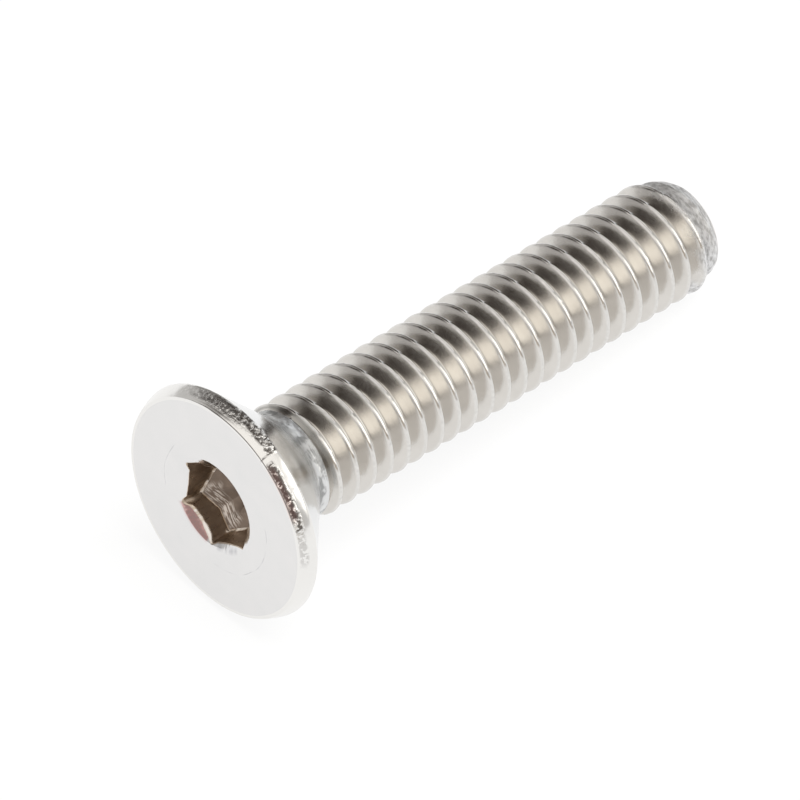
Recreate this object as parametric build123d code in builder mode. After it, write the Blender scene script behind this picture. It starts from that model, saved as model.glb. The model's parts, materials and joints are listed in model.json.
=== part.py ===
from build123d import *
import os
from math import atan, ceil, cos, floor, radians, sin, sqrt, tan

# Countersunk socket screw, forged and thread-rolled in one piece: a flat-faced 90 degree head
# with a hexagon socket, a short plain neck, and a right-hand metric thread that runs to the
# chamfered tip. All sizes are in millimetres. Distances along the screw start at the face of
# the head.

# Head
length = 19.6
head_diameter = 7.70
face_diameter = 7.30
seat_angle = 90.0
seat_diameter_at_face = 8.78
face_edge_chamfer = 0.07
rim_land = 0.14

# Neck
neck_diameter = 3.56
neck_end = 3.0
neck_blend = 0.2

# Thread
thread_diameter = 3.84
root_diameter = 3.06
pitch = 0.7
crest_flat = 0.0875
crest_at_top = 0.415
run_in = 0.7
run_out = 0.9
tip_diameter = 3.18
tip_chamfer = 0.8

# Socket
socket_across_flats = 2.5
socket_wall_depth = 1.0
socket_bottom_angle = 120.0
socket_mouth_diameter = 3.18
socket_mouth_angle = 120.0
socket_turn = 1.0

head_radius = head_diameter / 2
face_radius = face_diameter / 2
neck_radius = neck_diameter / 2
thread_radius = thread_diameter / 2
root_radius = root_diameter / 2
tip_radius = tip_diameter / 2

# The seat is a cone that starts behind a narrow land round the rim and ends at the neck.
seat_slope = tan(radians(seat_angle / 2))
seat_radius_at_face = seat_diameter_at_face / 2
seat_start = (seat_radius_at_face - head_radius) / seat_slope
seat_end = (seat_radius_at_face - neck_radius) / seat_slope
land_start = seat_start - rim_land

# The screw lies on a flat surface. It touches at the widest part of the rim and at the
# thread's crest beside the tip's chamfer, so its axis drops from the head towards the tip.
last_full_crest = length - tip_chamfer
lie = atan((head_radius - thread_radius) / (last_full_crest - seat_start))
along = Vector(cos(lie), 0, -sin(lie))
upward = Vector(sin(lie), 0, cos(lie))

# The origin is on that surface, under the middle of the screw's box.
face_height = head_radius * cos(lie) + seat_start * sin(lie)
front_overhang = (face_radius + face_edge_chamfer) * sin(lie)
reach = length * cos(lie) + tip_radius * sin(lie)
face_centre = Vector((front_overhang - reach) / 2, 0, face_height)


def on_axis(distance):
    """The point of the screw's axis at this distance from the face."""
    return face_centre + along * distance


# Both planes have x pointing upward. The first crosses the axis at the face of the head. The
# second halves the screw lengthwise, with x as the radius and y as the distance from the face.
face_plane = Plane(origin=face_centre, x_dir=upward, z_dir=along)
lengthwise = Plane(origin=face_centre, x_dir=upward, z_dir=(0, 1, 0))
screw_axis = Axis(face_centre, along)

# The threaded rod starts inside the neck. Its outer limit rises from the neck over the run-in
# and ends in the tip's chamfer, and stands clear of the crests in between.
rod_overlap = run_in / 2
rod_start = neck_end - rod_overlap
run_in_slope = (thread_radius - neck_radius) / run_in
tip_slope = (thread_radius - tip_radius) / tip_chamfer
crest_clearance = crest_flat
limit_radius = thread_radius + crest_clearance
limit_start = neck_end + run_in + crest_clearance / run_in_slope
limit_end = last_full_crest - crest_clearance / tip_slope

# The thread starts a whole turn or more before the rod does and ends as far beyond the tip.
half_crest = crest_flat / 2
turns_before_rod = floor((rod_start - 2 * pitch - crest_at_top) / pitch)
first_root = crest_at_top + turns_before_rod * pitch - pitch / 2
turn_count = ceil((length + pitch - first_root) / pitch)


def turn_corners(root):
    """Radius and distance of one turn's corners, from the root at this distance."""
    crest = root + pitch / 2
    return [
        (root_radius, root),
        (thread_radius, crest - half_crest),
        (thread_radius, crest + half_crest),
    ]


def turn_of_helix(radius, distance):
    """One right-hand turn. It starts straight above the axis."""
    return Edge.make_helix(pitch, pitch, radius, on_axis(distance), along)


def thread_end(root):
    """The two faces that close the thread across the axis, over the turn from this root."""
    next_root = root + pitch
    axis_edge = Edge.make_line(on_axis(root), on_axis(next_root))
    ramp = Face.make_surface_from_curves(axis_edge, turn_of_helix(root_radius, root))
    outline = [(0, root), *turn_corners(root), (root_radius, next_root), (0, next_root)]
    corners = [on_axis(distance) + upward * radius for radius, distance in outline]
    step = Face(Wire.make_polygon(corners))
    return [ramp, step]


# The thread's skin is ruled between helices, one turn to a strip, and closed at both ends.
last_root = first_root + turn_count * pitch
corners = [c for turn in range(turn_count) for c in turn_corners(first_root + turn * pitch)]
helices = [turn_of_helix(*corner) for corner in [*corners, (root_radius, last_root)]]
strips = [Face.make_surface_from_curves(a, b) for a, b in zip(helices, helices[1:])]
thread = Solid(Shell([*strips, *thread_end(first_root), *thread_end(last_root)]))

with BuildPart() as socket:
    # A hexagonal hole with a conical bottom and a round flared mouth.
    corner_radius = socket_across_flats / sqrt(3)
    bottom_slope = tan(radians(socket_bottom_angle / 2))
    socket_depth = socket_wall_depth + corner_radius / bottom_slope
    mouth_radius = socket_mouth_diameter / 2
    mouth_depth = mouth_radius / tan(radians(socket_mouth_angle / 2))
    with BuildSketch(face_plane):
        RegularPolygon(radius=corner_radius, side_count=6, rotation=socket_turn)
    extrude(amount=socket_depth)
    with BuildSketch(lengthwise):
        with BuildLine():
            Polyline(
                (0, 0),
                (socket_across_flats, 0),
                (socket_across_flats, socket_depth - socket_across_flats / bottom_slope),
                (0, socket_depth),
                close=True,
            )
        make_face()
    revolve(axis=screw_axis, mode=Mode.INTERSECT)
    with BuildSketch(lengthwise):
        with BuildLine():
            Polyline((0, 0), (mouth_radius, 0), (0, mouth_depth), close=True)
        make_face()
    revolve(axis=screw_axis)

with BuildPart() as screw:
    # The thread, cut back at both ends: it fades in beside the neck and is chamfered at the tip.
    add(thread)
    with BuildSketch(lengthwise):
        with BuildLine():
            Polyline(
                (0, rod_start),
                (neck_radius - run_in_slope * rod_overlap, rod_start),
                (limit_radius, limit_start),
                (limit_radius, limit_end),
                (tip_radius, length),
                (0, length),
                close=True,
            )
        make_face()
    revolve(axis=screw_axis, mode=Mode.INTERSECT, clean=False)

    # The head and the neck. A cone beyond the neck covers the first turn's root, so that the
    # thread runs out gradually.
    with BuildSketch(lengthwise):
        with BuildLine():
            Polyline(
                (0, 0),
                (face_radius, 0),
                (face_radius + face_edge_chamfer, face_edge_chamfer),
                (head_radius, land_start),
                (head_radius, seat_start),
                (neck_radius + neck_blend * seat_slope, seat_end - neck_blend),
                (neck_radius, seat_end + neck_blend),
                (neck_radius, neck_end),
                (root_radius - crest_flat, neck_end + run_out),
                (0, neck_end + run_out),
                close=True,
            )
        make_face()
    revolve(axis=screw_axis, clean=False)

    add(socket.part, mode=Mode.SUBTRACT, clean=False)

screw.part.label = "screw"

os.makedirs("parts", exist_ok=True)
export_step(screw.part, "parts/screw.step")
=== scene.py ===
import json
import math

import bpy
import numpy as np
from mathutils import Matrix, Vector, noise


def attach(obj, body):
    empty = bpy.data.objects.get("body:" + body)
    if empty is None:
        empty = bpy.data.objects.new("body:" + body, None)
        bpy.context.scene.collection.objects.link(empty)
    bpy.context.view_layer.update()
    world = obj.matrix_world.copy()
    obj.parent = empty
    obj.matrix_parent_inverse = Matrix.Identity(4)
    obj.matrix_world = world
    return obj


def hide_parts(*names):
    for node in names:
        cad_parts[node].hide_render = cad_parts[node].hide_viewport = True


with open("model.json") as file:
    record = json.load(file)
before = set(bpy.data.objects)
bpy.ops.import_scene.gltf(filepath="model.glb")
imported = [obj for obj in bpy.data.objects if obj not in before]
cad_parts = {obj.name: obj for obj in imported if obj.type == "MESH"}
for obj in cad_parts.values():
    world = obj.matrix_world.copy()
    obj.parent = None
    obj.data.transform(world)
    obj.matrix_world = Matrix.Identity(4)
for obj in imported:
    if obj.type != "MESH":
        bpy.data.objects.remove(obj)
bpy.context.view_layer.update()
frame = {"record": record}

# ---------------------------------------------------------------------------------------------
# The socket. A hexagon punch sinks it into the upset end of a steel wire, in the same blow that
# forms the head. It drags the coppered skin of the wire in over the flared mouth, tears the
# corners, scores the bottom and leaves it higher on one side.
# ---------------------------------------------------------------------------------------------

# The screw's own frame: distances run along it from the face of its head, and angles turn to
# the right about its axis from straight above it. Sizes are in millimetres.
mm = 0.001
whole_turn = 2 * math.pi
head_face = next(m for m in frame["record"]["mounts"] if m["name"] == "head_face")
face_centre = np.array(head_face["pos_m"]) / mm
along = -Vector(head_face["axis"]).normalized()
sideways = along.cross(Vector((0, 0, 1))).normalized()
upward = sideways.cross(along)

# The skin is made ring by ring, from the bottom of the socket to the tip, with its points in
# columns along the screw. A point has a distance, a radius and an angle, and says from 0 to 1
# how strongly it is marked in each of these ways.
points = []
# One mark holds the face's smudges and also painted shade: the face's ring, the rim's edge and lap,
# and the thread's first flank.
marks = {"pitted": [], "coppered": [], "scored": [], "polished": [], "stained": []}
rings = []
faces = []
finishes = []
finish_of_face = []

head_columns = 336
socket_turn = math.radians(1.0)


def angles_of(columns):
    """The angles of a ring's points. The first stands at a corner of the socket."""
    return socket_turn + whole_turn * np.arange(columns) / columns


def add_points(distance, radius, angle, **marked):
    """Adds points to the skin. Each value is a number, or has one value a point."""
    first = len(points)
    spread = np.zeros(len(angle))
    points.extend(zip(spread + distance, spread + radius, angle))
    for name, values in marks.items():
        values.extend(spread + marked.get(name, 0.0))
    return range(first, len(points))


def join(near, far):
    """The faces between two rings. One may have half as many points as the other, or only one."""
    if len(near) == len(far):
        for i in range(len(near)):
            k = (i + 1) % len(near)
            faces.append((near[i], near[k], far[k], far[i]))
        return
    flipped = len(near) > len(far)
    coarse, fine = (far, near) if flipped else (near, far)
    if len(coarse) == 1:
        made = [(coarse[0], fine[(i + 1) % len(fine)], fine[i]) for i in range(len(fine))]
    else:
        made = []
        for i in range(len(coarse)):
            k = (i + 1) % len(coarse)
            a, b, c = fine[2 * i], fine[2 * i + 1], fine[(2 * i + 2) % len(fine)]
            made += [(coarse[i], b, a), (coarse[i], coarse[k], b), (coarse[k], c, b)]
    faces.extend([face[::-1] for face in made] if flipped else made)


def carry_on(columns, distance, radius, **marked):
    """Carries the skin on to a new ring of this many points about the axis."""
    rings.append(add_points(distance, radius, angles_of(columns), **marked))
    if len(rings) > 1:
        join(rings[-2], rings[-1])


def ripple(distance, radius, angle, size, start=0.0):
    """Smooth noise from about -1 to 1, of this size in millimetres. Each start is a new pattern."""
    places = np.stack(np.broadcast_arrays(
        distance, radius * np.cos(angle), radius * np.sin(angle)), -1) / size + start
    values = [noise.noise(Vector(place)) for place in places.reshape(-1, 3)]
    return np.array(values).reshape(places.shape[:-1])


def between(angle, first, last, soft):
    """1 from the first angle to the last, in degrees, and 0 outside, with soft ends."""
    middle = math.radians((first + last) / 2)
    away = np.degrees(np.abs((angle - middle + math.pi) % whole_turn - math.pi))
    inside = np.clip(((last - first) / 2 - away) / soft + 0.5, 0, 1)
    return inside**2 * (3 - 2 * inside)


def bent(start, corner, end, share):
    """A point on the curve that leaves the start towards the corner and arrives at the end."""
    return (1 - share) ** 2 * start + 2 * share * (1 - share) * corner + share**2 * end


across_flats = 2.5
wall_depth = 1.0
bottom_angle = math.radians(120)
mouth_radius = 1.59
mouth_angle = math.radians(120)
# The mouth's middle stands this far upward and sideways of the axis.
mouth_shift = (0.04, -0.07)
bottom_slope = math.tan(bottom_angle / 2)
mouth_slope = math.tan(mouth_angle / 2)
corner_radius = across_flats / math.sqrt(3)
socket_depth = wall_depth + corner_radius / bottom_slope

# Depth of the walls at these angles.
wall_angles = (1, 31, 61, 91, 121, 151, 176, 181, 211, 241, 246, 271, 301, 361)
wall_depths = (1.1, 1.2, 1.1, 1.2, 1.15, 1.2, 0.8, 0.68, 0.84, 0.62, 0.7, 1.15, 1.2, 1.1)
# The first and last angle of each torn corner, and how far outward it is torn.
torn_corners = ((176, 186, 0.05), (236, 246, 0.11), (296, 321, 0.12))
# Points in each ring of the bottom, and its place from the middle at 0 to the walls at 1.
bottom_rings = ((42, 0.05), (84, 0.12), (168, 0.25), (336, 0.42), (336, 0.56), (336, 0.68),
                (336, 0.78), (336, 0.86), (336, 0.92), (336, 0.96))
# Where on the bottom the scores lie and the walls start, how it is dished, and its ripple.
scored_place = 0.84
walls_place = 0.99
bottom_dish = 1.3
bottom_ripple = 0.008


def hexagon(angle):
    """Radius of the hexagon at these angles."""
    from_corner = (angle - socket_turn) % (whole_turn / 6)
    return across_flats / 2 / np.cos(from_corner - whole_turn / 12)


def mouth(angle):
    """Radius of the mouth's edge on the face: a circle a little off the axis."""
    up, aside = mouth_shift
    toward = up * np.cos(angle) + aside * np.sin(angle)
    return toward + np.sqrt(mouth_radius**2 - up**2 - aside**2 + toward**2)


def torn(angle):
    """How far the metal is torn outward of the hexagon's corners at the mouth."""
    return sum(far * between(angle, first, last, 6.0) for first, last, far in torn_corners)


def bottom(place, angle):
    """Distance, radius and scoring of the bottom, which is rounder towards its middle."""
    roundness = 1 - place**3
    radius = place * (hexagon(angle) * (1 - roundness) + across_flats / 2 * roundness)
    at_wall = np.interp(np.degrees(angle), wall_angles, wall_depths)
    distance = socket_depth - (socket_depth - at_wall) * place**bottom_dish
    uneven = ripple(distance, radius, angle, 0.2) * bottom_ripple * place
    scored = between(angle, 176, 250, 14.0) * np.clip(1.6 - abs(place - scored_place) / 0.1, 0, 1)
    return distance + uneven, radius, scored


carry_on(1, socket_depth, 0.0)
for columns, place in bottom_rings:
    distance, radius, scored = bottom(place, angles_of(columns))
    carry_on(columns, distance, radius, scored=scored)


def metal_finish(name):
    """Puts a new metal on every face made since the last one. Gives its nodes and its shader."""
    metal = bpy.data.materials.new(name)
    metal.use_nodes = True
    shader = metal.node_tree.nodes["Principled BSDF"]
    shader.inputs["Metallic"].default_value = 1.0
    finish_of_face.extend([len(finishes)] * (len(faces) - len(finish_of_face)))
    finishes.append(metal)
    return metal.node_tree, shader


def add(tree, kind, inputs, **settings):
    """A node in this tree. Each input gets a value, or the output that feeds it."""
    made = tree.nodes.new(kind)
    for name, value in settings.items():
        setattr(made, name, value)
    for name, value in inputs.items():
        if isinstance(value, bpy.types.NodeSocket):
            tree.links.new(value, made.inputs[name])
        else:
            made.inputs[name].default_value = value
    return made


def mark(tree, name):
    """How strongly the surface is marked this way, from 0 to 1."""
    return add(tree, "ShaderNodeAttribute", {}, attribute_name=name).outputs["Fac"]


def place_on(tree):
    """The place on the screw in millimetres: along its axis, upward and sideways."""
    return add(tree, "ShaderNodeAttribute", {}, attribute_name="place").outputs["Vector"]


def grain(tree, scale, stretch=(1, 1, 1), detail=3.0, roughness=0.55):
    """Noise over the screw. A stretch below 1 draws it out along the axis, upward or sideways."""
    drawn = add(tree, "ShaderNodeVectorMath", {0: place_on(tree), 1: stretch}, operation="MULTIPLY")
    made = add(tree, "ShaderNodeTexNoise", {
        "Vector": drawn.outputs[0], "Scale": scale, "Detail": detail, "Roughness": roughness})
    return made.outputs["Fac"]


def ramp(tree, value, low, high, to_low=0.0, to_high=1.0):
    """The value carried from one range to another, and held at its ends."""
    made = add(tree, "ShaderNodeMapRange", {
        "Value": value, "From Min": low, "From Max": high, "To Min": to_low, "To Max": to_high})
    return made.outputs["Result"]


def result(tree, operation, first, second):
    """The sum, product or other result of two values."""
    return add(tree, "ShaderNodeMath", {0: first, 1: second}, operation=operation).outputs[0]


def product(tree, first, second):
    """The product of two values."""
    return result(tree, "MULTIPLY", first, second)


def reach_along(tree, vector, direction):
    """How far the vector reaches along this direction."""
    made = add(tree, "ShaderNodeVectorMath", {0: vector, 1: direction}, operation="DOT_PRODUCT")
    return made.outputs["Value"]


def blended(tree, share, first, second):
    """The first colour where the share is 0, and the second where it is 1."""
    colours = [(*c, 1) if isinstance(c, tuple) else c for c in (first, second)]
    made = add(tree, "ShaderNodeMix", {0: share, 6: colours[0], 7: colours[1]}, data_type="RGBA")
    return made.outputs[2]


def dress(tree, shader, colour, roughness):
    """Feeds the shader's colour and roughness."""
    tree.links.new(colour, shader.inputs["Base Color"])
    tree.links.new(roughness, shader.inputs["Roughness"])


def bumped(tree, shader, height, strength, reach):
    """Bends the shader's normal by this height, whose full swing is the reach in millimetres."""
    made = add(tree, "ShaderNodeBump", {
        "Height": height, "Strength": strength, "Distance": reach * mm})
    tree.links.new(made.outputs["Normal"], shader.inputs["Normal"])


dull_steel = (0.22, 0.17, 0.138)
dark_steel = (0.175, 0.138, 0.112)
# The scores' light steel is partly their real bare metal and partly a painted highlight.
score_highlight_steel = (0.60, 0.54, 0.49)
# The scores lie close together across this direction, and are drawn out along the other.
across_the_scores = (0, 0.857, 0.515)
along_the_scores = (0, -0.515, 0.857)
fineness_across = 30.0
fineness_along = 3.0

tree, shader = metal_finish("scored_bottom")
score_place = add(tree, "ShaderNodeCombineXYZ", {
    0: product(tree, reach_along(tree, place_on(tree), across_the_scores), fineness_across),
    1: product(tree, reach_along(tree, place_on(tree), along_the_scores), fineness_along)})
score_noise = add(tree, "ShaderNodeTexNoise", {
    "Vector": score_place.outputs[0], "Scale": 1.0, "Detail": 2.0})
# The scores are scratch marks in the bump, and their light colour also paints their highlights.
scores_and_highlights = product(tree, ramp(tree, score_noise.outputs["Fac"], 0.47, 0.56), mark(tree, "scored"))
ground = blended(tree, ramp(tree, grain(tree, 2.5), 0.35, 0.65), dull_steel, dark_steel)
dress(tree, shader, blended(tree, scores_and_highlights, ground, score_highlight_steel),
      ramp(tree, grain(tree, 9.0), 0.3, 0.7, 0.28, 0.4))
bumped(tree, shader, scores_and_highlights, 0.3, 0.01)

# A streaky bead of squeezed metal stands where the bottom meets the walls. Its rows have a lift
# above the bottom and a share of the bead's width.
bead_width = 0.012
squeezed_width = 0.05
bead_polish = 0.7
bead_top = 0.08
bead_rows = ((-0.03, 0.7), (0.01, 1.0), (0.05, 0.45), (bead_top, 0.0))
angle = angles_of(head_columns)
wall_bottom, wall_radius, scored = bottom(walls_place, angle)
squeezed = between(angle, 124, 184, 8.0) + between(angle, 240, 300, 8.0)
streaks = 0.7 + 0.9 * ripple(wall_bottom, wall_radius, angle, 0.12, start=5.0)
bead = (bead_width + squeezed_width * squeezed) * streaks
for lift, share in bead_rows:
    carry_on(head_columns, wall_bottom - lift, wall_radius - bead * share,
             polished=bead_polish * squeezed * share)

# The walls end where they bend over into the flare, and the flare is nowhere less deep than this.
least_flare = 0.012
punched_unevenness = 0.006
bend_size = 0.05 + 0.06 * between(angle, 183, 206, 14.0) + 0.03 * between(angle, 210, 240, 6.0)
bend_size -= 0.03 * between(angle, 246, 296, 10.0)
wall_top = (mouth(angle) - hexagon(angle)) / mouth_slope
wall_top = wall_top * (1 - 0.6 * between(angle, 246, 296, 12.0))
wall_top = np.maximum(wall_top - 0.6 * torn(angle), least_flare)
wall_end = wall_top + bend_size
for share in (0.3, 0.65, 1.0):
    distance = wall_bottom - bead_top + share * (wall_end - wall_bottom + bead_top)
    radius = hexagon(angle) + torn(angle) * share**3
    uneven = punched_unevenness * ripple(0.15 * distance, radius, angle, 0.07, start=2.0)
    carry_on(head_columns, distance, radius + uneven)

# The bend is broad and bright where the punch rubbed on it, and speckled beside that.
inner = hexagon(angle) + torn(angle)
outer = np.maximum(mouth(angle), inner + 0.03)
flare_start = np.minimum(bend_size * 0.8, (outer - inner) * 0.6) / (outer - inner)
rubbed = between(angle, 182, 209, 8.0)
speckled = np.clip(3 * ripple(0.0, 1.35, angle, 0.05, start=21.0), 0, 1)
speckled = speckled * between(angle, 209, 240, 6.0)
coppered = between(angle, 188, 241, 4.0)
for share in (0.3, 0.6, 1.0):
    distance = bent(wall_end, wall_top, wall_top * (1 - flare_start), share)
    radius = bent(inner, inner, inner + flare_start * (outer - inner), share)
    uneven = punched_unevenness * ripple(distance, radius, angle, 0.06, start=7.0)
    uneven = uneven * (1 - torn(angle))
    carry_on(head_columns, distance + uneven, radius, coppered=coppered * (share == 1.0),
             polished=np.maximum(rubbed, speckled) * (1 - abs(share - 0.6)))

wall_steel = (0.62, 0.52, 0.42)
smudged_steel = (0.50, 0.42, 0.34)
rubbed_steel = (0.80, 0.77, 0.74)

tree, shader = metal_finish("punched_socket")
drag = grain(tree, 12.0, stretch=(0.15, 1, 1))
walls = blended(tree, ramp(tree, grain(tree, 2.5), 0.35, 0.65), wall_steel, smudged_steel)
dress(tree, shader, blended(tree, mark(tree, "polished"), walls, rubbed_steel),
      ramp(tree, drag, 0.3, 0.7, 0.26, 0.38))
bumped(tree, shader, drag, 0.3, 0.008)

# ---------------------------------------------------------------------------------------------
# The face of the head. The punch's shoulder presses it flat and leaves a faint broken ring where
# the shoulder ends. The steel is bright, as it is after pickling and tumbling.
# ---------------------------------------------------------------------------------------------

# The flare fades out in the face over the bend's width.
pressed_unevenness = 0.004
face_bend = 0.02 + 0.13 * between(angle, 243, 330, 20.0) + 0.05 * between(angle, 120, 180, 20.0)
smudged = np.clip(0.5 + 1.5 * ripple(0, 1.5, angle, 0.12, start=22.0), 0, 1)
smudged = smudged * between(angle, 135, 178, 10.0)
flare_end = np.maximum(outer - face_bend, inner + flare_start * (outer - inner) + 0.01)
flare_end_distance = wall_top * (outer - flare_end) / (outer - inner)
for share in (0.0, 0.3, 0.65, 1.0):
    distance = bent(flare_end_distance, 0.0, 0.0, share)
    radius = bent(flare_end, outer, outer + face_bend, share)
    uneven = pressed_unevenness * ripple(distance, radius, angle, 0.07, start=9.0) * (1 - share)
    carry_on(head_columns, distance + uneven, radius, coppered=(1 - 0.8 * share) * coppered,
             stained=0.5 * (1 - share) * smudged)

ring_radius = 2.2
ring_half_width = 0.02
deepest_ring = 0.014
most_wander = 0.05
ring_shade_strength = 22
ring_wander = most_wander * ripple(0.0, ring_radius, angle, 0.9, start=3.0)
ring_depth = deepest_ring * (between(angle, 68, 178, 12.0) + between(angle, 255, 304, 12.0))
ring_depth *= np.clip(0.45 + 2.0 * ripple(0.0, ring_radius, angle, 0.35, start=4.0), 0, 1)
for radius in (outer + 0.1 + face_bend, 1.98, 2.1):
    carry_on(head_columns, 0.0, radius)
# The ring's groove is painted darker the deeper it lies: painted shade in the groove.
for side, depth in ((-1, 0.0), (0, 1.0), (1, 0.0)):
    radius = ring_radius + ring_wander + side * ring_half_width
    carry_on(head_columns, depth * ring_depth, radius, stained=depth * ring_depth * ring_shade_strength)
for radius in (2.35, 2.7, 3.1, 3.4, 3.56):
    carry_on(head_columns, 0.0, radius)

bright_steel = (0.78, 0.77, 0.765)
cloudy_steel = (0.76, 0.755, 0.75)
red_copper = (0.58, 0.35, 0.33)
dark_copper = (0.50, 0.35, 0.33)
smudge_and_shade_grey = (0.34, 0.34, 0.37)

tree, shader = metal_finish("pressed_face")
steel = blended(tree, ramp(tree, grain(tree, 1.6), 0.3, 0.7), bright_steel, cloudy_steel)
drag = grain(tree, 16.0, stretch=(0.15, 1, 1))
copper = blended(tree, ramp(tree, drag, 0.4, 0.62), red_copper, dark_copper)
tinted = blended(tree, mark(tree, "coppered"), steel, copper)
# The grey is a stain on the smudges beside the flare, and painted shade in the ring's groove.
dress(tree, shader, blended(tree, mark(tree, "stained"), tinted, smudge_and_shade_grey),
      ramp(tree, grain(tree, 0.7), 0.3, 0.7, 0.10, 0.16))

# ---------------------------------------------------------------------------------------------
# The rim: the free edge of the upset head. The steel is not pressed there, so it is coarse and
# pitted, with smooth patches where it touches the die, and a lap crosses it on one side.
# ---------------------------------------------------------------------------------------------

rim_columns = 2 * head_columns
head_radius = 3.85
seat_start = 0.54
# Distance and radius of each ring across the rim.
rim_profile = ((0.0, 3.630), (0.003, 3.650), (0.010, 3.664), (0.022, 3.674), (0.06, 3.694),
               (0.10, 3.713), (0.14, 3.731), (0.18, 3.748), (0.22, 3.764), (0.26, 3.779),
               (0.30, 3.794), (0.34, 3.808), (0.38, 3.821), (0.42, 3.833), (0.46, 3.842),
               (0.50, 3.847), (0.53, 3.845), (0.56, 3.83), (0.59, 3.803))
face_edge = 0.02
pit_depth = 0.018
smooth_ripple = 0.004
# The lap is a slanting furrow at this angle, and the rim is stepped down beside it.
lap_angle = math.radians(28.0)
lap_slant = 0.05
lap_depth = 0.028
lap_half_width = 0.022
lap_step = 0.014
lap_shade_half_width = 0.02
lap_shade_end = 0.42
angle = angles_of(rim_columns)


def ramped(value, start, width):
    """0 up to the start, rising to 1 over this width, and 1 past it."""
    return np.clip((value - start) / width, 0, 1)


def pitting(distance, angle):
    """Where the rim is pitted: bands that change their place and width round the head."""
    edge_of_smooth = 0.21 + 0.05 * ripple(0.0, 3.8, angle, 0.35, start=11.0)
    outer_band = ramped(distance, edge_of_smooth, 0.05)
    middle_band = ramped(distance, 0.1, 0.08) * ramped(-distance, -0.5, 0.12)
    inner_band = ramped(distance, 0.01, 0.02) * ramped(-distance, -edge_of_smooth - 0.07, 0.05)
    # Each stretch has its strength, its first and last angle, how soft its ends are, and its band.
    stretches = ((1.0, 340, 362, 34.0, middle_band), (1.0, 0, 28, 2.0, outer_band),
                 (1.0, 31, 66, 2.0, inner_band), (0.3, 66, 84, 8.0, inner_band),
                 (0.75, 150, 215, 20.0, middle_band), (0.6, 225, 270, 15.0, outer_band))
    return np.max([strength * between(angle, first, last, soft) * band
                   for strength, first, last, soft, band in stretches], axis=0)


for distance, radius in rim_profile:
    pitted = pitting(distance, angle)
    coarse = ripple(distance, radius, angle, 0.085, start=1.0)
    fine = ripple(distance, radius, angle, 0.045, start=6.0)
    past_lap = (angle - lap_angle + lap_slant * distance + math.pi) % whole_turn - math.pi
    shift = -pit_depth * pitted * np.clip(0.45 + 1.2 * coarse + 0.8 * fine, 0, 1.3)
    shift -= smooth_ripple * (1 - pitted) * ripple(distance, radius, angle, 0.22, start=8.0)
    shift -= lap_depth * np.exp(-((past_lap * head_radius / lap_half_width) ** 2))
    shift -= lap_step * between(angle, 28, 46, 1.0) * np.clip(distance / 0.1, 0, 1)
    if distance < face_edge:
        shift = shift * 0
    # A thin line along the face's edge and the lap's furrow are painted dark: painted shade in these
    # creases.
    stained = between(angle, -8, 62, 6.0) * (0.002 < distance < face_edge)
    in_lap = np.exp(-((past_lap * head_radius / lap_shade_half_width) ** 2))
    stained = stained + in_lap * (distance < lap_shade_end)
    coppered = 0.6 * between(angle, 33, 60, 6.0) * ramped(-distance, -0.22, 0.08)
    carry_on(rim_columns, distance, radius + shift, pitted=pitted, coppered=coppered,
             stained=np.minimum(stained, 1))

smooth_steel = (0.84, 0.83, 0.81)
smooth_copper = (0.66, 0.49, 0.45)
pit_steel = (0.17, 0.155, 0.145)
pit_copper = (0.11, 0.055, 0.05)
crease_shade_grey = (0.20, 0.18, 0.17)

tree, shader = metal_finish("upset_rim")
more_pits = product(tree, mark(tree, "coppered"), 0.07)
pit_grain = result(tree, "SUBTRACT", grain(tree, 8.5), more_pits)
pits = product(tree, ramp(tree, pit_grain, 0.47, 0.57, 1.0, 0.0), mark(tree, "pitted"))
smooth = blended(tree, mark(tree, "coppered"), smooth_steel, smooth_copper)
pit = blended(tree, mark(tree, "coppered"), pit_steel, pit_copper)
# The dark grey on the face's edge and in the lap is painted shade.
dress(tree, shader, blended(tree, mark(tree, "stained"), blended(tree, pits, smooth, pit), crease_shade_grey),
      ramp(tree, pits, 0.0, 1.0, 0.2, 0.42))
bumped(tree, shader, product(tree, grain(tree, 14.0), mark(tree, "pitted")), 1.0, 0.03)

# ---------------------------------------------------------------------------------------------
# The seat and the neck. The seat is a smooth 90 degree cone, pressed by the heading die. The
# neck is the wire itself, scuffed in fine rings by the edges of the dies that roll the thread.
# ---------------------------------------------------------------------------------------------

neck_radius = 1.78
neck_end = 3.0
seat_unevenness = 0.004
scuff_depth = 0.006
wire_unevenness = 0.005
seat_end = seat_start + head_radius - neck_radius
angle = angles_of(head_columns)
for distance in (0.66, 0.76, 0.9, 1.06, 1.24, 1.44, 1.66, 1.88, 2.06, 2.22, 2.34):
    radius = head_radius + seat_start - distance
    uneven = seat_unevenness * ripple(distance, radius, angle, 0.8, start=12.0)
    carry_on(head_columns, distance, radius + uneven)

# The neck blends into the cone on a round of this reach either side of where they would meet.
blend = 0.24
blend_steps = 6
seat_turn = math.radians(45)
blend_radius = blend / math.tan(seat_turn / 2)
shank_columns = head_columns // 2
for step in range(1, blend_steps + 1):
    left_to_turn = seat_turn * (1 - step / blend_steps)
    distance = seat_end + blend - blend_radius * math.sin(left_to_turn)
    radius = neck_radius + blend_radius * (1 - math.cos(left_to_turn))
    carry_on(head_columns if step < blend_steps else shank_columns, distance, radius)

angle = angles_of(shank_columns)
for distance in (2.905, 2.95, neck_end):
    scuffed_ring = scuff_depth * math.sin(90 * distance)
    uneven = wire_unevenness * ripple(distance, 0.5, angle, 0.3, start=14.0)
    carry_on(shank_columns, distance, neck_radius + scuffed_ring + uneven)

wire_steel = (0.74, 0.745, 0.745)
scuffed_steel = (0.38, 0.385, 0.385)

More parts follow.
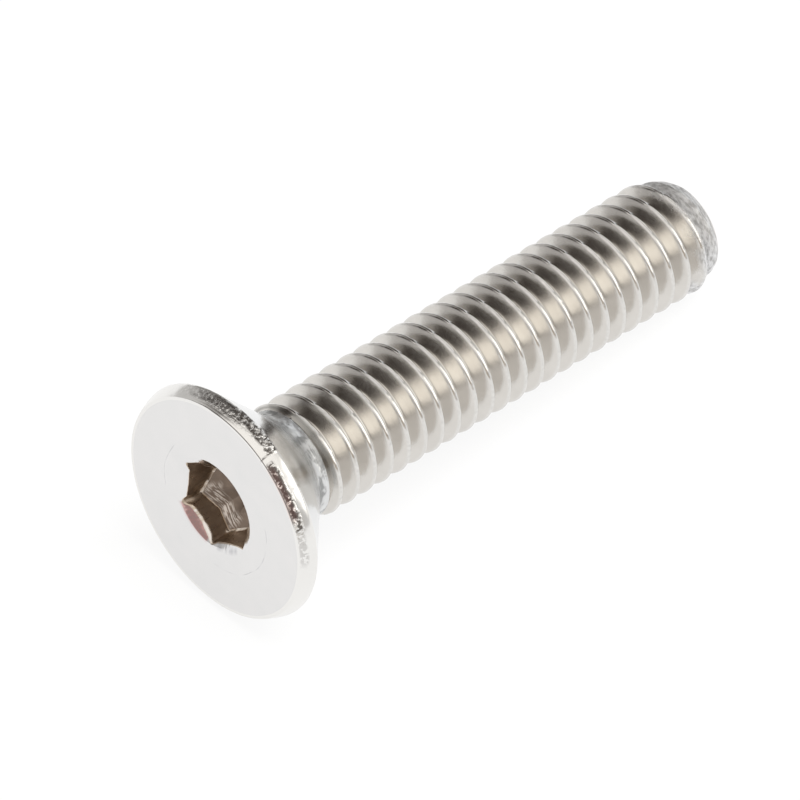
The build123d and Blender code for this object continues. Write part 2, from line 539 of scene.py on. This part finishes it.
tree, shader = metal_finish("bright_seat")
distance = add(tree, "ShaderNodeSeparateXYZ", {0: place_on(tree)}).outputs["X"]
on_neck = ramp(tree, distance, 1.7, 2.5)
scuffed_rings = grain(tree, 16.0, stretch=(1.0, 0.1, 0.1), detail=4.0, roughness=0.7)
patches = ramp(tree, grain(tree, 1.8), 0.42, 0.58, 0.25, 1.0)
scuffs = product(tree, product(tree, scuffed_rings, patches), on_neck)
dress(tree, shader, blended(tree, ramp(tree, scuffs, 0.26, 0.5), wire_steel, scuffed_steel),
      ramp(tree, on_neck, 0.0, 1.0, 0.13, 0.3))
bumped(tree, shader, scuffs, 1.0, 0.035)

# ---------------------------------------------------------------------------------------------
# The thread. It is rolled between flat dies, which press its grooves in and raise its crests,
# so each crest is a seam where two lips of metal meet, and in places a furrow stays between.
# Its end is turned down to a rough chamfer.
# ---------------------------------------------------------------------------------------------

length = 19.6
thread_radius = 1.92
pitch = 0.7
crest_at_top = 0.415
crest_half_width = 0.07
# A flank would reach the crest's full height at this distance from the crest's middle.
flank_start = 0.05
half_flank_angle = math.radians(30)
root_rounding = 0.05
# Past the neck the crests rise over the run-in, and the filled grooves fall to the core's depth
# over the run-out.
run_in = 0.1
run_out = 0.35
core_depth = 0.42
tip_radius = 1.59
tip_chamfer = 0.8
chamfer_shift = 0.04
chamfer_shift_angle = math.radians(100)
rolled_unevenness = 0.003
nick_depth = 0.02
cut_mark_depth = 0.014
flank_slope = 1 / math.tan(half_flank_angle)
flank_bottom = pitch / 2 - root_rounding * math.cos(half_flank_angle)
root_centre = flank_slope * (pitch / 2 - flank_start) - 2 * root_rounding

# Depths across a crest, from the middle to where it meets the flanks. Points that are past the
# crest's edge by no more than the slack still count as the crest.
edge_slack = 0.0005
crest_reach = (0.0, 0.018, 0.036, 0.05, crest_half_width)
round_crest = (0.0, 0.001, 0.005, 0.013, 0.0346)
broad_crest = (0.010, 0.010, 0.011, 0.013, 0.0346)
narrow_crest = (0.0, 0.004, 0.013, 0.022, 0.0346)
# Depths right across the seam where two lips stay apart, from the head's side to the tip's.
seam_reach = (-crest_half_width, -0.05, -0.036, -0.018, 0.0, 0.018, 0.036, 0.05, crest_half_width)
open_seam = (0.0346, 0.003, 0.0, 0.010, 0.024, 0.012, 0.004, 0.009, 0.0346)


def crest_depth(past_crest, angle):
    """How deep the crest lies below its highest point, across and along it."""
    aside = np.abs(past_crest)
    broad = between(angle, 28, 57, 1.5)
    narrow = between(angle, 57, 135, 2.0)
    furrowed = between(angle, -1, 27, 2.5) + 0.8 * between(angle, 160, 205, 6.0)
    furrowed = furrowed + 0.6 * between(angle, 245, 290, 6.0)
    depth = np.interp(aside, crest_reach, round_crest)
    depth = depth + broad * (np.interp(aside, crest_reach, broad_crest) - depth)
    depth = depth + narrow * (np.interp(aside, crest_reach, narrow_crest) - depth)
    return depth + furrowed * (np.interp(past_crest, seam_reach, open_seam) - depth)


def groove(distance, angle):
    """How deep the thread's skin lies below the crest's highest point at this place."""
    past_root = (distance - crest_at_top - pitch * angle / whole_turn + pitch / 2) % pitch
    past_crest = past_root - pitch / 2
    aside = np.abs(past_crest)
    rounding = np.sqrt(np.clip(root_rounding**2 - (pitch / 2 - aside) ** 2, 0, None))
    cut = np.where(aside < flank_bottom, flank_slope * (aside - flank_start), root_centre + rounding)
    on_the_crest = aside < crest_half_width + edge_slack
    return np.where(on_the_crest, crest_depth(past_crest, angle), cut)


def rod_radius(distance, angle):
    """Radius of the threaded rod, which fades in beside the neck and is chamfered at the tip."""
    cut = thread_radius - groove(distance, angle)
    past_neck = distance - neck_end
    rise = neck_radius + (thread_radius - neck_radius) * past_neck / run_in
    core = neck_radius - (neck_radius - thread_radius + core_depth) * past_neck / run_out
    off_centre = chamfer_shift * np.cos(angle - chamfer_shift_angle)
    chamfer_rise = (thread_radius - tip_radius) * (length - distance) / tip_chamfer
    outside = np.minimum(rise, tip_radius + off_centre + chamfer_rise)
    return np.maximum(np.minimum(cut, outside), np.minimum(core, neck_radius))


def rolled_radius(distance, angle):
    """Radius of the rod with a slight unevenness, nicked crests and the chamfer's cut marks."""
    radius = rod_radius(distance, angle)
    on_crest = ramped(radius, thread_radius - 0.06, 0.05)
    on_chamfer = ramped(distance, length - tip_chamfer, 0.1)
    uneven = rolled_unevenness * ripple(distance, radius, angle, 0.3, start=15.0)
    nicks = nick_depth * np.clip(ripple(distance, radius, angle, 0.09, start=16.0) - 0.2, 0, 1)
    cut_marks = cut_mark_depth * ripple(distance * 5, 0.8, angle, 0.3, start=17.0)
    return radius + uneven - nicks * on_crest + cut_marks * on_chamfer


# Rows of points wind along the thread. These are their places from one crest to the next: close
# together over the crest and the root, and far apart on the flat flanks.
past_the_crest = (0.018, 0.045, crest_half_width, 0.09, 0.2, 0.3, 0.328)
row_places = [0.0, *past_the_crest, pitch / 2, *(pitch - x for x in past_the_crest[::-1])]


def row_distance(column, row):
    """Distance of a row's point in this column."""
    turn, step = divmod(row, len(row_places))
    wound = pitch * (socket_turn / whole_turn + column / shank_columns)
    return turn * pitch + row_places[step] + crest_at_top + wound


# The rows run from the neck's last ring to a ring beside the end, and keep this gap to both.
tip_ring_distance = length - 0.06
gap = 0.012
point_at = {}
grid_distance = []
grid_angle = []
first_row = []
last_row = []
for column in range(shank_columns):
    row = int((neck_end - crest_at_top) / pitch - 2) * len(row_places)
    while row_distance(column, row) < neck_end + gap:
        row += 1
    first_row.append(row)
    while row_distance(column, row) < tip_ring_distance - gap:
        point_at[column, row] = len(points) + len(grid_distance)
        grid_distance.append(row_distance(column, row))
        grid_angle.append(angle[column])
        row += 1
    last_row.append(row - 1)
first_row.append(first_row[0] - len(row_places))
last_row.append(last_row[0] - len(row_places))

grid_distance = np.array(grid_distance)
grid_angle = np.array(grid_angle)
grid_radius = rolled_radius(grid_distance, grid_angle)
on_crest = ramped(grid_radius, thread_radius - 0.07, 0.05)
worn_edge = 0.25 + 0.3 * ripple(grid_distance, grid_radius, grid_angle, 0.5, start=23.0)
on_chamfer = ramped(grid_distance, length - tip_chamfer - worn_edge, 0.3)
# The flank of the crest that starts beside the neck is painted dark: a painted dark reflection, not
# a change in the steel.
first_flank_dark_reflection = 0.8 * ramped(-grid_distance, -neck_end - 0.3, 0.1) * between(grid_angle, -70, 70, 40.0)
add_points(grid_distance, grid_radius, grid_angle,
           polished=on_crest, scored=on_chamfer, stained=first_flank_dark_reflection * (1 - on_crest))


def grid_point(column, row):
    """The number of a grid point. Past the last column the rows start a turn further on."""
    if column < shank_columns:
        return point_at[column, row]
    return point_at[0, row + len(row_places)]


neck_ring = rings[-1]
tip_ring = add_points(tip_ring_distance, rolled_radius(tip_ring_distance, angle), angle, scored=1.0)
rings.append(tip_ring)
for i in range(shank_columns):
    k = (i + 1) % shank_columns
    first, next_first = first_row[i], first_row[i + 1]
    final, next_final = last_row[i], last_row[i + 1]
    faces.append((neck_ring[i], neck_ring[k], grid_point(i + 1, next_first), grid_point(i, first)))
    if next_first < first:
        faces.append((
            grid_point(i, first), grid_point(i + 1, next_first), grid_point(i + 1, first)))
    for row in range(first, next_final):
        faces.append((
            grid_point(i, row), grid_point(i + 1, row),
            grid_point(i + 1, row + 1), grid_point(i, row + 1)))
    if next_final < final:
        faces.append((
            grid_point(i, next_final), grid_point(i + 1, next_final), grid_point(i, final)))
    faces.append((grid_point(i, final), grid_point(i + 1, next_final), tip_ring[k], tip_ring[i]))

groove_steel = (0.70, 0.675, 0.64)
cloudy_groove = (0.665, 0.64, 0.605)
crest_steel = (0.64, 0.625, 0.60)
bright_crest = (0.75, 0.735, 0.71)
cut_steel = (0.50, 0.495, 0.49)
bright_cut = (0.84, 0.84, 0.845)
# The dark grey of the first flank beside the neck is a painted dark reflection.
painted_reflection_grey = (0.30, 0.295, 0.28)

tree, shader = metal_finish("rolled_thread")
speckle = grain(tree, 11.0, detail=4.0, roughness=0.65)
streaks = grain(tree, 18.0, stretch=(1, 0.22, 0.22), detail=4.0, roughness=0.65)
grooves = blended(tree, ramp(tree, grain(tree, 1.1), 0.35, 0.65), groove_steel, cloudy_groove)
crests = blended(tree, ramp(tree, speckle, 0.3, 0.6), crest_steel, bright_crest)
turned_down = blended(tree, ramp(tree, streaks, 0.38, 0.58), cut_steel, bright_cut)
tone = blended(tree, mark(tree, "polished"), grooves, crests)
tone = blended(tree, mark(tree, "scored"), tone, turned_down)
tone = blended(tree, mark(tree, "stained"), tone, painted_reflection_grey)
rough_cut = ramp(tree, mark(tree, "scored"), 0.0, 1.0, 0.0, 0.28)
dull_groove = ramp(tree, mark(tree, "polished"), 0.0, 1.0, 0.06, 0.0)
roughness = result(tree, "ADD", ramp(tree, speckle, 0.3, 0.7, 0.13, 0.2),
                   result(tree, "ADD", rough_cut, dull_groove))
dress(tree, shader, tone, roughness)
cut_streaks = product(tree, streaks, mark(tree, "scored"))
relief = result(tree, "ADD", product(tree, speckle, 0.1), product(tree, cut_streaks, 2.5))
bumped(tree, shader, relief, 0.8, 0.02)

# ---------------------------------------------------------------------------------------------
# The tip: the end of the wire as it is cut off. The cutter rounds its edge, leaves it a little
# uneven and presses a shallow dent in the middle.
# ---------------------------------------------------------------------------------------------

# Points in each ring of the tip, its distance from the end and its share of the end's radius.
tip_rings = ((168, 0.025, 0.985), (168, 0.004, 0.965), (168, 0.0, 0.94), (168, 0.0, 0.75),
             (84, 0.02, 0.5), (42, 0.035, 0.2))
rounded_edge = 0.96
end_unevenness = 0.01
dent_depth = 0.04
for columns, from_end, share in tip_rings:
    angle = angles_of(columns)
    radius = share * rod_radius(tip_ring_distance, angle)
    distance = length - from_end
    if share < rounded_edge:
        uneven = ripple(distance, radius, angle, 0.25, start=18.0) - 1
        distance = distance + end_unevenness * uneven
    carry_on(columns, distance, radius)
carry_on(1, length - dent_depth, 0.0)

torn_steel = (0.72, 0.70, 0.67, 1)

tree, shader = metal_finish("cut_tip")
shader.inputs["Base Color"].default_value = torn_steel
tear = grain(tree, 7.0, stretch=(1, 0.25, 1.0))
tree.links.new(ramp(tree, tear, 0.3, 0.7, 0.22, 0.42), shader.inputs["Roughness"])
bumped(tree, shader, tear, 0.6, 0.02)

# ---------------------------------------------------------------------------------------------
# The screw: one piece of steel, so all the rings above are one closed skin, which stands in
# place of the plain solid.
# ---------------------------------------------------------------------------------------------

crease_angle = math.radians(40)
distances, radii, turned = np.array(points).T
local = np.stack([distances, radii * np.cos(turned), radii * np.sin(turned)], 1)
axes = np.array([along, upward, sideways])
skin = bpy.data.meshes.new("screw_body")
skin.from_pydata(((face_centre + local @ axes) * mm).tolist(), [], faces)
place_data = skin.attributes.new("place", "FLOAT_VECTOR", "POINT").data
place_data.foreach_set("vector", local.astype(np.float32).ravel())
for name, values in marks.items():
    mark_data = skin.attributes.new(name, "FLOAT", "POINT").data
    mark_data.foreach_set("value", np.array(values, dtype=np.float32))
for metal in finishes:
    skin.materials.append(metal)
skin.polygons.foreach_set("material_index", finish_of_face)
skin.polygons.foreach_set("use_smooth", [True] * len(skin.polygons))
skin.set_sharp_from_angle(angle=crease_angle)
screw = bpy.data.objects.new("screw_body", skin)
bpy.context.scene.collection.objects.link(screw)
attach(screw, "root")
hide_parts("screw")

# ---------------------------------------------------------------------------------------------
# The table: a plain sheet of white card that the screw lies on. It shows white to the camera and
# in the metal, and keeps the screw's shadow.
# ---------------------------------------------------------------------------------------------

table_half_width = 3.0
card_white = (0.93, 0.93, 0.93, 1)
glow_share = 0.88

corners = [(-1, -1), (1, -1), (1, 1), (-1, 1)]
sheet = bpy.data.meshes.new("floor")
sheet.from_pydata([(table_half_width * x, table_half_width * y, 0) for x, y in corners], [],
                  [(0, 1, 2, 3)])
card = bpy.data.materials.new("white_card")
card.use_nodes = True
tree = card.node_tree
tree.nodes.clear()
path = add(tree, "ShaderNodeLightPath", {}).outputs
seen = result(tree, "MAXIMUM", path["Is Camera Ray"], path["Is Glossy Ray"])
seen = result(tree, "MAXIMUM", seen, path["Is Transmission Ray"])
matt = add(tree, "ShaderNodeBsdfDiffuse", {"Color": card_white})
glow = add(tree, "ShaderNodeEmission", {"Color": (1, 1, 1, 1), "Strength": 1.0})
surface = add(tree, "ShaderNodeMixShader", {
    0: product(tree, seen, glow_share), 1: matt.outputs[0], 2: glow.outputs[0]})
add(tree, "ShaderNodeOutputMaterial", {"Surface": surface.outputs[0]})
sheet.materials.append(card)
floor = bpy.data.objects.new("floor", sheet)
bpy.context.scene.collection.objects.link(floor)

# ---------------------------------------------------------------------------------------------
# The light: a pale studio that darkens towards the table, with a bright soft box, pale boards
# and dark cloths round the screw, and one soft lamp above it.
# ---------------------------------------------------------------------------------------------

low_wall = (0.57, 0.56, 0.55)
ceiling = (1.0, 0.97, 0.93)
dark_cloth = (0.03, 0.02, 0.015)
grey_cloth = (0.17, 0.16, 0.15)
brown_board = (0.52, 0.44, 0.35)
warm_board = (1.08, 1.05, 1.01)
cool_board = (1.05, 1.07, 1.08)
soft_box = (1.95, 1.91, 1.82)
# Each one's tone, azimuth and elevation, and the angles from there between which its edge fades.
around_the_screw = (
    (dark_cloth, 44, 58, 21, 49),
    (dark_cloth, 131, 32, 11, 24),
    (warm_board, -168, 57, 32, 44),
    (soft_box, -64, 32, 16, 29),
    (cool_board, 18, 30, 12, 26),
    (grey_cloth, 54, 4, 6, 20),
    (brown_board, -124, -4, 12, 32),
)
# The room brightens from the low walls' tone to the ceiling's between these heights, where
# straight up is 1.
brightens_from = 0.22
brightens_to = 1.1

world = bpy.data.worlds.new("studio")
world.use_nodes = True
bpy.context.scene.world = world
tree = world.node_tree
direction = add(tree, "ShaderNodeTexCoord", {}).outputs["Generated"]


def smooth_ramp(value, low, high):
    """0 up to the low value, rising smoothly to 1 at the high one."""
    made = add(tree, "ShaderNodeMapRange", {
        "Value": value, "From Min": low, "From Max": high}, interpolation_type="SMOOTHSTEP")
    return made.outputs["Result"]


def near(azimuth, elevation, inner, outer):
    """From 1 within the inner angle of a direction to 0 past the outer, all in degrees."""
    turn = math.radians(azimuth)
    rise = math.radians(elevation)
    toward = (math.cos(turn) * math.cos(rise), math.sin(turn) * math.cos(rise), math.sin(rise))
    aligned = reach_along(tree, direction, toward)
    return smooth_ramp(aligned, math.cos(math.radians(outer)), math.cos(math.radians(inner)))


height = add(tree, "ShaderNodeSeparateXYZ", {0: direction}).outputs["Z"]
room = blended(tree, smooth_ramp(height, brightens_from, brightens_to), low_wall, ceiling)
for colour, azimuth, elevation, inner, outer in around_the_screw:
    room = blended(tree, near(azimuth, elevation, inner, outer), room, colour)
tree.links.new(room, tree.nodes["Background"].inputs["Color"])

lamp_data = bpy.data.lights.new("top_lamp", "AREA")
lamp_data.size = 0.4
lamp_data.energy = 3.0
lamp = bpy.data.objects.new("top_lamp", lamp_data)
bpy.context.scene.collection.objects.link(lamp)
lamp.location = (0.1, -0.15, 0.6)
lamp.rotation_euler = lamp.location.to_track_quat("Z", "Y").to_euler()
lamp.visible_glossy = False

# ---------------------------------------------------------------------------------------------
# The camera. It stands beside the screw's head, about 26 cm away, and looks down on the whole
# screw through a long lens.
# ---------------------------------------------------------------------------------------------

view_turn = math.radians(-43.546)
view_rise = math.radians(47.565)
view_distance = 264.18
aim = Vector((-1.8056, 0.2812, 2.5101))
back = Vector((
    math.sin(view_turn) * math.cos(view_rise),
    -math.cos(view_turn) * math.cos(view_rise),
    math.sin(view_rise)))
camera_data = bpy.data.cameras.new("camera")
camera_data.sensor_width = 36
camera_data.lens = 394.615
camera_data.clip_start = 0.01
camera_data.clip_end = 10
camera = bpy.data.objects.new("camera", camera_data)
bpy.context.scene.collection.objects.link(camera)
camera.location = (aim + back * view_distance) * mm
camera.rotation_mode = "QUATERNION"
camera.rotation_quaternion = back.to_track_quat("Z", "Y")
bpy.context.scene.camera = camera
bpy.context.scene.view_settings.view_transform = "Standard"
